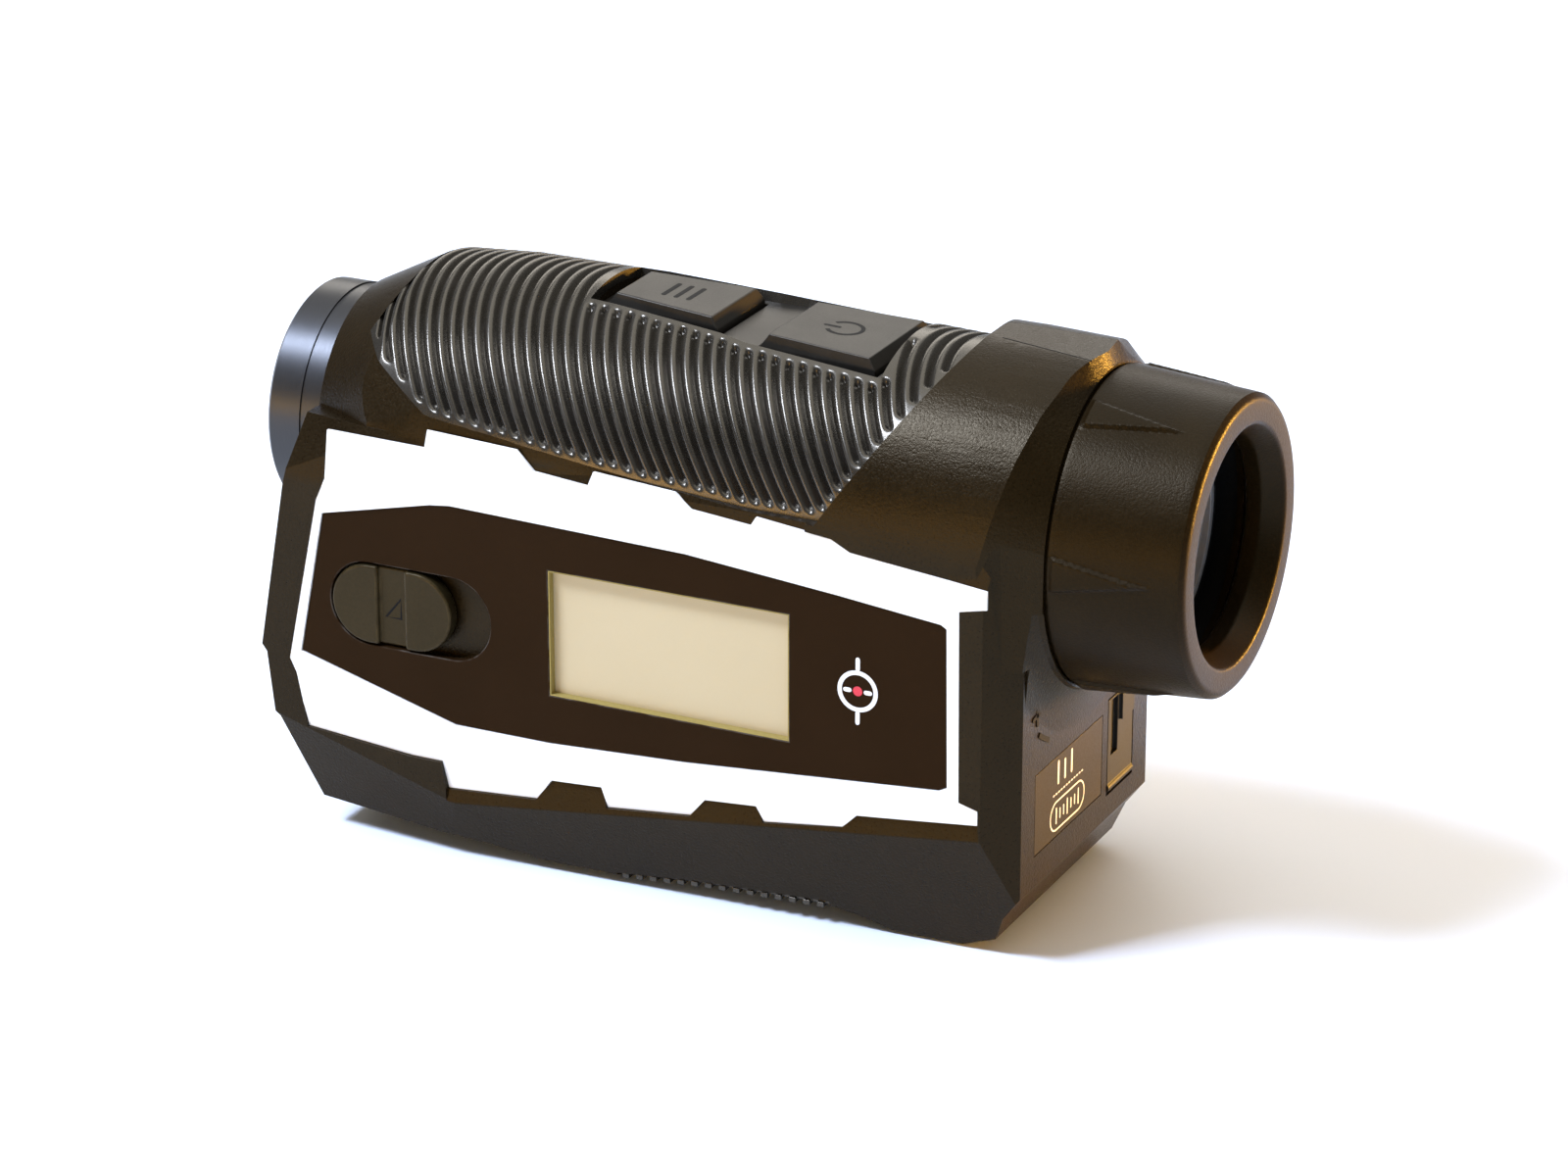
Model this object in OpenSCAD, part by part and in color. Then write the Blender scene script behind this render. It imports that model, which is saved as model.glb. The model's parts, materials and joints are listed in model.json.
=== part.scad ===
// Hand-held laser rangefinder: one-piece housing with a front cap, a rubber grip
// saddle, side panels in pale trim frames, two top keys, a slope slider and a
// turning eyepiece. The shapes are drawn about the optical axis, with +X towards
// the eye, and are lifted at the end so that the base stands on z = 0.

/* [Optics] */
// Height of the optical axis above the base
axis_h = 44.5; // [44.5:0.5:45.5]
// Outer radius of the objective ring
objective_r = 13.27; // [13.1:0.01:13.3]
// Front edge of the objective ring
front_x = -55.5; // [-55.7:0.1:-55.5]
// Rear edge of the eyecup
rear_x = 55.5; // [55.5:0.1:55.7]
// Outer radius of the eyecup at its base
eyecup_base_r = 17.35; // [17.3:0.05:17.4]
// Outer radius of the eyecup at its rim
eyecup_rim_r = 16.3; // [16.1:0.1:16.5]
// Radius of the fixed neck that the dioptre ring turns on
neck_r = 14.9; // [14.85:0.01:14.9]

/* [Body] */
// Half the width over the lower body
side_y = 20.3; // [20.3:0.05:20.35]
// Half the width at the faces of the side panels
panel_y = 20; // [19.9:0.05:20.05]
// Depth of the floor that the side panels are bonded to, from the centre plane
floor_y = 19.1; // [19.05:0.05:19.1]
// Thickness of the rubber grip saddle
grip_t = 1.2; // [1:0.1:1.2]

/* [Controls] */
// Travel of the slope slider
slope_travel = 4.6; // [4:0.1:4.6]
// Length of the slope slider's knob
slope_len = 15; // [14.6:0.1:15]
// Height of the slope slider's knob
slope_h = 9.2; // [9:0.1:9.2]

/* [Hidden] */
$fn = 96;

far = 120;             // reach of the cutting blocks
rear_face_x = 38.5;    // flat rear face under the eyepiece
emitter_z = -24.5;     // axis of the laser emitter
slope_x = -36;         // centre of the slope knob at rest
slope_z = -15.8;       // centre line of the slope knob
slope_face_y = 20.25;  // outer face of the slope knob
port_y = 9.7;          // centre of the charging port
port_z = -28.3;        // centre of the port cover
window = [-16.4, 12.5, -22.6, -8.05]; // display window: x low, x high, z low, z high
ring_x = 37.3;         // front end of the dioptre ring
collar_end_x = 40.5;   // rear end of the collar, where the eyecup shows its gap
collar_end_r = 17.6;   // radius of the collar at that end
collar_r = 20;         // radius of the collar behind the grip
collar_bore_r = 17.3;  // bore of the collar that the eyecup turns in
trim_y = panel_y + 0.2;  // outer face of the trim frame

// Radius of the body tube along its axis, as [radius, x]
TUBE = [
  [0, -48.2], [14.4, -48.2], [18.8, -39.6], [19.4, -31], [19.4, -15], [18, 26.4],
  [18, 34], [0, 34]
];

// Side view of the whole lower body, as [x, z]
SIDE = [
  [-47.8, 4.3], [-49.4, -3.6], [-49.7, -5.35], [-52.8, -22.9], [-52.2, -23.7],
  [-51.4, -30.8], [-50.8, -31.3], [-47, -41.3], [-35.3, -41.9], [-27.2, -42.4],
  [-20.3, -43.1], [-16.5, -axis_h], [-10, -axis_h], [-6.5, -43.6], [-0.4, -43],
  [9.6, -42.6], [16.3, -42.35], [19, -42.9], [24.2, -axis_h], [30.8, -axis_h],
  [35.2, -42.8], [36.4, -39.8], [rear_face_x, -37], [rear_face_x, 4.3]
];

// Parting line between the front cap and the housing, as [x, z] from the top down
SEAM = [
  [-38.9, 21], [-42.7, 12.8], [-44.5, 3.6], [-44.5, -1.9], [-45.7, -4.5], [-49.85, -24],
  [-49, -25.6], [-47.8, -31.9], [-44.4, -43.3], [-44.4, -50]
];

// Outline of the grip saddle in side view
GRIP = [
  [-38.9, 21], [-42.7, 12.8], [-32.4, 6.7], [-24, 5.8], [-7, 3.8], [6.7, 2.6],
  [15.3, 2.4], [28, 21]
];

// Outline of a side panel
PANEL = [
  [-44.5, -6], [-30.8, -2.8], [-28.3, -2.5], [0.4, -3.2], [18.1, -4.75], [30.2, -6],
  [30.84, -6.4], [31.1, -24.4], [30.1, -24.9], [0.2, -27.4], [-16.6, -28.3],
  [-28.3, -28.3], [-47.8, -22.9]
];

// Outline of the pale trim frame
TRIM = [
  [-43.9, 3.6], [-31.7, 3.4], [-31.4, 5.5], [-20.3, 5], [-18.2, 2.9], [-11.6, 2.4],
  [-11, 4], [-1.2, 3.3], [0.9, 1.8], [7.9, 1.2], [8.5, 2.2], [17.4, 1.3], [19.6, 0.2],
  [35.4, -1.4], [35.4, -3.5], [32.3, -4.2], [32.5, -25.7], [34.7, -26.3], [34.7, -28],
  [20.6, -29.6], [18.9, -31.3], [9.5, -32.6], [8.6, -30.9], [2.4, -31.4], [0.6, -33.6],
  [-9.6, -34.7], [-10.3, -32.4], [-16.5, -32.8], [-18.4, -35.4], [-29.6, -36.3],
  [-30.2, -33.1], [-34, -33.1], [-47.2, -31.9], [-48.5, -25.6], [-49.3, -24],
  [-45.2, -4.5], [-44, -1.9]
];

// ---- placing helpers ----

module placed() {
  translate([0, 0, axis_h]) children();
}

// A (y, z) outline drawn out along X
module along_x(x0, x1) {
  translate([x0, 0, 0]) rotate([90, 0, 90]) linear_extrude(x1 - x0) children();
}

// An (x, z) outline drawn out along Y
module along_y(y0, y1) {
  translate([0, y1, 0]) rotate([90, 0, 0]) linear_extrude(y1 - y0) children();
}

// A [radius, x] profile turned about the optical axis
module turned(profile) {
  rotate([0, 90, 0]) rotate_extrude() polygon(profile);
}

module tube_x(x0, x1, outer, inner) {
  turned([[inner, x0], [outer, x0], [outer, x1], [inner, x1]]);
}

module rod_x(x0, x1, r) {
  translate([x0, 0, 0]) rotate([0, 90, 0]) cylinder(r = r, h = x1 - x0);
}

module block(low, high) {
  translate(low) cube(high - low);
}

module both_sides() {
  children();
  mirror([0, 1, 0]) children();
}

// Everything beyond the plane through three points, on the side of its normal
module beyond(a, b, c) {
  n = cross(b - a, c - a);
  translate(a)
    rotate([0, acos(n.z / norm(n)), atan2(n.y, n.x)])
      translate([-far, -far, 0]) cube([2 * far, 2 * far, far]);
}

// A slot outline with round ends, centred at the origin
module slot_outline(len, high) {
  square([len - high, high], center = true);
  for (s = [-1, 1]) translate([s * (len - high) / 2, 0]) circle(d = high);
}

// ---- outer form ----

function shrunk(profile, t) = [for (p = profile) [max(p[0] - t, 0), p[1]]];

module lower_block() {
  intersection() {
    along_y(-side_y, side_y) polygon(SIDE);
    along_x(-far, far) polygon([
      [-18.2, 5], [-19.4, 2.5], [-side_y, -3], [-side_y, -46],
      [side_y, -46], [side_y, -3], [19.4, 2.5], [18.2, 5]
    ]);
  }
}

// Crease along the foot of the side, from front to rear, as [x, y, z]
CREASE = [[-24, -side_y, -37.2], [34.8, -side_y, -29.9]];
lower_slope = 0.325;  // how far the lower facet draws in for each mm down
ledge_slope = 0.3;    // how far the ledge under the trim draws in for each mm up
ledge_lift = 0.12;    // height of the narrow land between the ledge and the crease

// The planes that turn the block into the tapered, faceted lower body
module facet_cuts() {
  both_sides() {
    beyond(CREASE[0], CREASE[0] + [0, 10 * lower_slope, -10], CREASE[1]);
    beyond([-47.8, -side_y, -31.9], [-46.2, -17.2, -43.3], [-30.5, -side_y, -37.1]);
    beyond([0, -18, -43.5], [0, -15.3, -axis_h], [20, -18, -43.5]);
    beyond([35, -side_y, 0], [rear_face_x, -17.4, -20], [rear_face_x, -17.4, 0]);
    ledge_cut();
  }
}

// The ledge between the teeth of the trim and the crease faces a little upwards
module ledge_cut() {
  intersection() {
    translate([0, 0, ledge_lift])
      beyond(CREASE[0], CREASE[1], [CREASE[0].x, -side_y + 3 * ledge_slope, CREASE[0].z + 3]);
    along_y(-far, -floor_y) polygon([
      [34.7, -28], [20.6, -29.6], [18.9, -31.3], [9.5, -32.6], [8.6, -30.9], [2.4, -31.4],
      [0.6, -33.6], [-9.6, -34.7], [-10.3, -32.4], [-16.5, -32.8], [-18.4, -35.4],
      [-29.6, -36.3], [-29.6, -39], [35, -31]
    ]);
  }
}

module upper_facet_cuts() {
  both_sides() beyond([-44.5, -18.1, 3.4], [-32.4, -18.3, 6.8], [-42.7, -13.2, 12.8]);
}

// The smooth collar behind the grip, with a flat strip along its top
module collar() {
  difference() {
    turned([[0, 12], [collar_r, 12], [collar_r, 30.6], [collar_r - 0.4, 42], [0, 42]]);
    along_y(-far, far) polygon([[-90, -50], [-90, 30], [33.2, 30], [14.3, 2.4], [14.3, -50]]);
    beyond([28, 0, 19.9], [40, 0, 19.3], [28, 5, 19.9]);
    block([0, -far, -far], [far, far, -4]);
  }
}

// The rear of the collar is chamfered, by more at the sides than at the top
module collar_chamfer(a) {
  out = [0, sin(a), cos(a)];
  edge = [collar_end_x, 0, 0] + collar_end_r * out;
  crease = [collar_end_x - 0.075 * abs(a) - 0.1, 0, 0] + collar_r * out;
  beyond(edge, edge + [0, cos(a), -sin(a)], crease);
}

// The rear face flares up to the foot of the eyepiece
module eyepiece_boss() {
  boss_end_x = collar_end_x - 0.05;
  flare = [for (a = [0:15:90]) [24 - 6.4 * sin(a), boss_end_x - 2 * cos(a)]];
  difference() {
    turned(concat([[0, 36], [24, 36]], flare, [[0, boss_end_x]]));
    block([30, -far, -3], [far, far, far]);
    both_sides() block([30, -far, -far], [far, -16.9, -10.6]);
  }
}

module eyepiece_end() {
  difference() {
    union() {
      collar();
      eyepiece_boss();
    }
    for (a = [-90:15:90]) collar_chamfer(a);
    block([collar_end_x, -far, -far], [far, far, far]);
  }
}

module outer_form() {
  difference() {
    union() {
      difference() {
        lower_block();
        facet_cuts();
      }
      turned(TUBE);
      eyepiece_end();
    }
    upper_facet_cuts();
  }
}

module in_front_of_seam() {
  along_y(-far, far) polygon(concat(SEAM, [[-90, -50], [-90, 21]]));
}

module trim_pocket() {
  both_sides() along_y(-far, -floor_y) polygon(TRIM);
}

module grip_pocket() {
  difference() {
    along_y(-far, far) polygon(GRIP);
    turned(shrunk(TUBE, grip_t));
  }
}

// Plan of the key surround, wider at the rear key
module surround_plan() {
  polygon([
    [-18.2, -6], [-1.6, -7.5], [1.4, -8.1], [18, -9.2], [18, 9.2], [1.4, 8.1], [-1.6, 7.5],
    [-18.2, 6]
  ]);
}

module surround_cut() {
  translate([0, 0, 12]) linear_extrude(20) surround_plan();
}

// ---- casing ----

module main_housing() placed() color([0.06, 0.055, 0.05]) difference() {
  outer_form();
  in_front_of_seam();
  trim_pocket();
  grip_pocket();
  surround_cut();
  rod_x(-60, 30, 15.6);
  along_y(-17.4, 17.4) polygon([
    [-60, 0], [-60, -35], [-30, -37], [33, -31], [33, 0]
  ]);
  along_y(-15, 15) polygon([
    [-60, 0], [-60, -38], [-40, -40.2], [-20, -41.4], [-8, -41.4], [16, -40.4], [22, -41.4],
    [32, -41.4], [36.6, -36.5], [36.6, -19.5], [35.4, -19.5], [35.4, 0]
  ]);
  both_sides() for (z = [-4.2, -28.8]) {
    translate([-39.5, -far, z]) rotate([-90, 0, 0]) cylinder(r = 0.9, h = far);
    translate([-39.5, -far, z]) rotate([-90, 0, 0]) cylinder(r = 1.6, h = far - 18.4);
  }
  // eyepiece bay: neck bore, ring groove and guide slot
  rod_x(29, 60, 12.84);
  tube_x(37, 60, collar_bore_r, neck_r);
  block([46, -far, -far], [60, far, far]);
  block([40, -1, 12], [45, 1, 16]);
  // display and slider openings in the left wall
  along_y(-far, -17) translate([-2, -15.3]) square([34, 17.5], center = true);
  along_y(-far, -18.4) translate([slope_x + slope_travel / 2, slope_z])
    slot_outline(slope_len + slope_travel + 0.5, slope_h + 0.5);
  along_y(-far, -17) translate([slope_x + slope_travel / 2, slope_z]) square([9, 3], center = true);
  // charging port, cover seat and label seat in the rear face
  block([36, port_y - 1.7, port_z - 4.6], [39, port_y + 1.7, port_z + 4.6]);
  block([37.3, port_y - 3.7, port_z - 6], [39, port_y + 3.7, port_z + 5.5]);
  block([38.2, -13.9, -33.5], [39, 4.6, -24]);
  // shallow seat of the base grip pad
  base_pad_space();
}

module base_pad_space() {
  along_y(-far, far) polygon([[-9.6, -50], [-9.6, -43.4], [-0.4, -42.5], [16, -41.85], [16, -50]]);
}

module front_cap() placed() color([0.06, 0.055, 0.05]) {
  difference() {
    intersection() {
      outer_form();
      in_front_of_seam();
    }
    rod_x(-60, -30, 13.15);
    translate([0, 0, emitter_z]) rod_x(-60, -30, 8.6);
    turned([[0, -46], [14, -46], [16.6, -41], [16.6, -30], [0, -30]]);
    along_y(-18.4, 18.4) polygon([
      [-46, 0], [-47.6, -6], [-50.6, -23], [-49.4, -30], [-47.8, -33], [-30, -33], [-30, 0]
    ]);
    along_y(-14.5, 14.5) polygon([[-48.6, -30], [-45.4, -39.5], [-30, -39.5], [-30, -30]]);
  }
  // tongues inside the side walls, which the cap screws hold
  both_sides() difference() {
    block([-50, -17.3, -31], [-37.5, -15.6, -25]);
    block([-47.8, -17.3, -8], [-37.5, -15.6, -2]);
    for (z = [-4.2, -28.8])
      translate([-39.5, -far, z]) rotate([-90, 0, 0]) cylinder(r = 0.7, h = far);
  }
}

module grip_saddle() placed() color([0.1, 0.1, 0.1]) difference() {
  intersection() {
    turned(TUBE);
    along_y(-far, far) polygon(GRIP);
  }
  turned(shrunk(TUBE, grip_t));
  surround_cut();
}

// Rubber strip across the waist of the base, with ribs that wrap round its edges
module base_grip_pad() placed() color([0.1, 0.1, 0.1]) {
  pad_y = 16.9;
  along_y(-pad_y, pad_y) polygon([
    [-9.6, -43.8], [-9.6, -43.4], [-0.4, -42.5], [16, -41.85], [16, -42.25], [-0.4, -42.9]
  ]);
  for (i = [0:14]) {
    x = -9.2 + i * 1.7;
    top = x < 0 ? -43.7 + 0.09 * (x + 9.2) : -42.85 + 0.038 * x;
    block([x, -17.3, top - 0.35], [x + 0.8, 17.3, top + 0.2]);
  }
}

// ---- side trim and panels ----

module trim_frame() {
  difference() {
    along_y(-trim_y, -floor_y) polygon(TRIM);
    along_y(-far, far) polygon(PANEL);
    beyond([0, -trim_y, -2.2], [20, -trim_y, -2.2], [0, -19.15, 6]);
    beyond([0, -trim_y, -29], [0, -19.5, -37], [20, -trim_y, -29]);
  }
}

module trim_left() placed() color([0.92, 0.9, 0.86]) trim_frame();

module trim_right() placed() color([0.92, 0.9, 0.86]) mirror([0, 1, 0]) trim_frame();

module panel_left() placed() color([0.13, 0.09, 0.06]) difference() {
  along_y(-panel_y, -floor_y) polygon(PANEL);
  along_y(-far, far) translate([window[0], window[2]])
    square([window[1] - window[0], window[3] - window[2]]);
  along_y(-far, far) translate([slope_x + slope_travel / 2, slope_z])
    slot_outline(slope_len + slope_travel + 0.5, slope_h + 0.5);
}

module panel_right() placed() color([0.13, 0.09, 0.06]) mirror([0, 1, 0])
  along_y(-panel_y, -floor_y) polygon(PANEL);

module display_module() placed() color([0.85, 0.78, 0.6]) {
  block([-18.8, -19.1, -23.9], [14.8, -17.5, -6.7]);
  block([-16, -17.5, -22], [12, -16.2, -9]);
}

// ---- slope slider ----

module slope_knob() placed() color([0.2, 0.19, 0.16]) difference() {
  union() {
    along_y(-slope_face_y, -18.6) translate([slope_x, slope_z]) slot_outline(slope_len, slope_h);
    along_y(-18.6, -15.4) translate([slope_x, slope_z]) square([3, 2.4], center = true);
  }
  along_y(-far, -19.65) translate([slope_x, slope_z]) square([3.4, 20], center = true);
}

module slope_switch() placed() color([0.5, 0.5, 0.48]) difference() {
  block([-39.5, -17, -19], [-28, -13.1, -12.6]);
  along_y(-far, -14.8) translate([slope_x + slope_travel / 2, slope_z]) square([9, 3], center = true);
}

// ---- top keys ----

// Each key is [front x, rear x, front half width, rear half width, front height,
// rear height], measured at the edges of its sloping flat top
KEY_MODE = [-16, -3.8, 4.1, 5.4, 18.9, 18.3];
KEY_POWER = [3.4, 15.6, 6, 6.9, 17.6, 17];
key_flare = 0.45;     // how far the long sides spread below the flat top
key_end_flare = 0.9;  // how far the ends spread below it
key_drop = 1.3;       // height of the sloping sides
key_gap = 0.2;        // running gap around a key

function key_foot(k, gap) = [
  [k[0] - key_end_flare - gap, -k[2] - key_flare - gap],
  [k[1] + key_end_flare + gap, -k[3] - key_flare - gap],
  [k[1] + key_end_flare + gap, k[3] + key_flare + gap],
  [k[0] - key_end_flare - gap, k[2] + key_flare + gap]
];

// A flat-topped key with sloping sides, and a plunger over its switch
module key_cap(k, low, centre_x) {
  front = [k[0], 0, k[4]];
  rear = [k[1], 0, k[5]];
  down = [0, 0, -key_drop];
  near_front = [k[0], -k[2], k[4]];
  near_rear = [k[1], -k[3], k[5]];
  across = [0, 5, 0];
  difference() {
    translate([0, 0, low]) linear_extrude(20 - low) polygon(key_foot(k, 0));
    beyond(front, rear, rear + across);
    beyond(front, front + across, front + down + [-key_end_flare, 0, 0]);
    beyond(rear, rear + down + [key_end_flare, 0, 0], rear + across);
    both_sides() beyond(near_front, near_front + down + [0, -key_flare, 0], near_rear);
  }
  translate([centre_x, 0, low - 2.2]) cylinder(r = 1.6, h = 2.4);
}

module mode_key() placed() color([0.11, 0.11, 0.11]) key_cap(KEY_MODE, 15.6, -10.3);

module power_key() placed() color([0.11, 0.11, 0.11]) key_cap(KEY_POWER, 14.2, 10);

module key_surround() placed() color([0.1, 0.1, 0.1]) difference() {
  translate([0, 0, 12]) linear_extrude(10) surround_plan();
  beyond([-18, 0, 17.35], [18, 0, 15.2], [18, 5, 15.2]);
  rod_x(-60, 60, 13.9);
  beyond([0, 0, 13.4], [0, 5, 13.4], [5, 0, 13.4]);
  translate([0, 0, 5]) linear_extrude(30) polygon(key_foot(KEY_MODE, key_gap));
  translate([0, 0, 5]) linear_extrude(30) polygon(key_foot(KEY_POWER, key_gap));
}

module key_switches() placed() color([0.6, 0.6, 0.58]) {
  translate([-10.3, 0, 11.6]) cylinder(r = 1.5, h = 0.9);
  block([-12.3, -2, 10.2], [-8.3, 2, 11.6]);
  translate([10, 0, 10.2]) cylinder(r = 1.5, h = 0.9);
  block([8, -2, 9], [12, 2, 10.2]);
}

module key_board() placed() color([0.1, 0.3, 0.16]) {
  block([-15, -6, 9.4], [-5, 6, 10.2]);
  block([-5, -3, 9.2], [6, 3, 9.6]);
  block([6, -6, 8.2], [16, 6, 9]);
  block([5.6, -3, 8.6], [6, 3, 9.2]);
}

// ---- eyepiece ----

module dioptre_ring() placed() color([0.08, 0.08, 0.08]) difference() {
  tube_x(ring_x, 49.6, 15.85, neck_r + 0.06);
  tube_x(40.2, 44.8, 15.5, neck_r);
}

// A long shallow wedge that gives the fingers a hold, widest at the base
module eyecup_lug() {
  half = 1.9;
  intersection() {
    turned([[16.15, 40.95], [17.65, 40.95], [17.65, 41.3], [16.39, 53], [16.15, 53]]);
    translate([0, 0, -30]) linear_extrude(30) polygon([[40, -half], [54, 0], [40, half]]);
  }
}

module eyecup() placed() color([0.07, 0.065, 0.06]) {
  turned([
    [16, 38], [17, 38], [17, 40.8], [eyecup_base_r, 40.8], [eyecup_base_r, 41.4],
    [eyecup_rim_r, 54.9],
    [eyecup_rim_r - 0.6, rear_x], [13.1, rear_x], [11.7, 53.2], [11.7, 51.4],
    [13.9, 50.4], [13.9, 49.6], [16, 49.6]
  ]);
  for (i = [0:5]) rotate([i * 60 + 28.4, 0, 0]) eyecup_lug();
}

module ocular_cell() placed() color([0.05, 0.05, 0.05]) difference() {
  turned([
    [11.6, 33], [12.8, 33], [12.8, 47.6], [12.2, 47.6], [12.2, 46.6], [10.9, 46.6],
    [10.9, 42.2], [9.9, 42.2], [9.9, 39.4], [11.6, 39.4]
  ]);
  guide_pin();
}

module ocular_retainer() placed() color([0.05, 0.05, 0.05])
  turned([[9.9, 44.2], [10.9, 44.2], [10.9, 46.6], [12.2, 46.6], [12.2, 47.6], [10.4, 47.6]]);

// Half a lens profile: a shallow arc of the given bulge, as [radius, x]
function lens_face(x, r, bulge, n = 8) = [for (i = [0:n]) [r * i / n, x + bulge * (1 - pow(i / n, 2))]];

function backwards(list) = [for (i = [len(list) - 1:-1:0]) list[i]];

// A lens whose rim runs from x0 to x1, with faces that bulge beyond it
module lens(x0, x1, r, bulge) {
  turned(concat(lens_face(x0, r, -bulge), backwards(lens_face(x1, r, bulge))));
}

module eye_lens() placed() color([0.6, 0.75, 0.8, 0.4]) lens(42.4, 44, 10.85, 1.1);

module field_lens() placed() color([0.6, 0.75, 0.8, 0.4]) lens(37.5, 39.1, 11.55, 1.1);

module guide_pin() {
  translate([42.5, 0, 12.4]) cylinder(r = 0.7, h = 2.9);
}

module cell_guide_pin() placed() color([0.7, 0.7, 0.7]) guide_pin();

// ---- objective and ranging parts ----

module objective_ring() placed() color([0.07, 0.07, 0.07]) turned([
  [12, front_x], [objective_r - 0.4, front_x], [objective_r, front_x + 0.4],
  [objective_r, -51.3], [13.1, -51.3], [13.1, -37], [10.8, -37], [10.8, -46.6], [12, -46.6]
]);

module objective_lens() placed() color([0.6, 0.75, 0.8, 0.4]) lens(-48.8, -46.8, 11.95, 0.9);

module objective_retainer() placed() color([0.05, 0.05, 0.05])
  turned([[11, -48.95], [12, -48.95], [12, -50], [11.3, -50]]);

module objective_seal() placed() color([0.15, 0.15, 0.15])
  tube_x(-46, -44.8, 14, 13.1);

module emitter_lens() placed() color([0.35, 0.08, 0.08, 0.6])
  translate([0, 0, emitter_z]) lens(-51.4, -49.8, 8.1, 0.6);

module emitter_seal() placed() color([0.15, 0.15, 0.15])
  translate([0, 0, emitter_z]) tube_x(-52.4, -48.6, 8.6, 8.1);

module laser_module() placed() color([0.25, 0.25, 0.27]) translate([0, 0, emitter_z]) {
  difference() {
    union() {
      rod_x(-48.6, -30, 8.4);
      rod_x(-30, -24, 4.5);
    }
    rod_x(-50, -31, 7);
  }
}

module receiver_module() placed() color([0.45, 0.45, 0.42]) {
  block([-8, -5, -17.8], [4, 5, -13]);
  translate([-2, 0, -13]) cylinder(r = 3, h = 2);
}

module prism_block() placed() color([0.7, 0.8, 0.85, 0.5])
  along_y(-9, 9) polygon([[-14, 8], [-18, -6], [-10, -11], [8, -11], [16, -4], [12, 8]]);

module reticle_plate() placed() color([0.5, 0.6, 0.6]) block([24, -8, -8], [25.2, 8, 8]);

// Tray that carries the objective tube, the prism and the reticle plate
module optics_chassis() placed() color([0.2, 0.2, 0.2]) {
  difference() {
    intersection() {
      rod_x(-37, 28, 15.5);
      block([-37, -20, -20], [28, 20, 8]);
    }
    rod_x(-40, -25, 13.4);
    block([-26, -9, -11], [24, 9, 20]);
    block([24, -8, -8], [25.2, 8, 20]);
    rod_x(25, 30, 9);
    block([-9, -5.2, -20], [5, 5.2, -10]);
    block([-16, -7, 8], [17, 7, 20]);
  }
}

// ---- electronics ----

module main_board() placed() color([0.1, 0.3, 0.16]) difference() {
  block([-36, -13, -40], [30, -11.8, -17]);
  for (x = [-33, 27]) translate([x, 0, -37]) rotate([90, 0, 0]) cylinder(r = 1, h = 40);
}

module board_screws() placed() color([0.7, 0.7, 0.7])
  for (x = [-33, 27]) translate([x, 0, -37]) {
    rotate([90, 0, 0]) translate([0, 0, 9]) cylinder(r = 0.95, h = 4);
    rotate([90, 0, 0]) translate([0, 0, 13]) cylinder(r = 1.7, h = 1);
  }

module battery_cell() placed() color([0.2, 0.35, 0.6])
  translate([0, -1.5, -30.5]) rod_x(-20, 30, 7);

module usb_socket() placed() color([0.75, 0.75, 0.75]) difference() {
  block([29.5, port_y - 1.65, port_z - 4.5], [37.2, port_y + 1.65, port_z + 4.5]);
  block([31.5, port_y - 1.25, port_z - 4.1], [38, port_y + 1.25, port_z + 4.1]);
}

module port_cover() placed() color([0.08, 0.075, 0.07]) difference() {
  union() {
    block([37.5, port_y - 3.5, port_z - 5.2], [rear_face_x, port_y + 3.5, port_z + 5.3]);
    translate([38.1, port_y - 3.5, port_z - 5.2]) rotate([-90, 0, 0]) cylinder(r = 0.6, h = 7);
    block([rear_face_x, port_y - 0.4, port_z + 2], [rear_face_x + 0.4, port_y + 3, port_z + 5]);
  }
  block([38, port_y - 2.6, port_z - 1.5], [40, port_y - 0.8, port_z + 5]);
}

module rear_label() placed() color([0.1, 0.09, 0.08])
  block([38.2, -13.8, -33.4], [rear_face_x, 4.5, -24.1]);

module cap_screws() placed() color([0.7, 0.7, 0.7])
  both_sides() for (z = [-4.2, -28.8]) translate([-39.5, 0, z]) rotate([90, 0, 0]) {
    translate([0, 0, 15]) cylinder(r = 0.7, h = 3.4);
    translate([0, 0, 18.4]) cylinder(r = 1.5, h = 0.7);
  }

main_housing();
front_cap();
grip_saddle();
base_grip_pad();
trim_left();
trim_right();
panel_left();
panel_right();
display_module();
slope_knob();
slope_switch();
key_surround();
mode_key();
power_key();
key_switches();
key_board();
dioptre_ring();
eyecup();
ocular_cell();
ocular_retainer();
eye_lens();
field_lens();
cell_guide_pin();
objective_ring();
objective_retainer();
objective_lens();
objective_seal();
emitter_lens();
emitter_seal();
laser_module();
receiver_module();
prism_block();
reticle_plate();
optics_chassis();
main_board();
battery_cell();
usb_socket();
port_cover();
rear_label();
cap_screws();
board_screws();
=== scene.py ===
"""Hand-held laser rangefinder: camera, finishes, detailed pieces, stage and light."""

import json
import math

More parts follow.
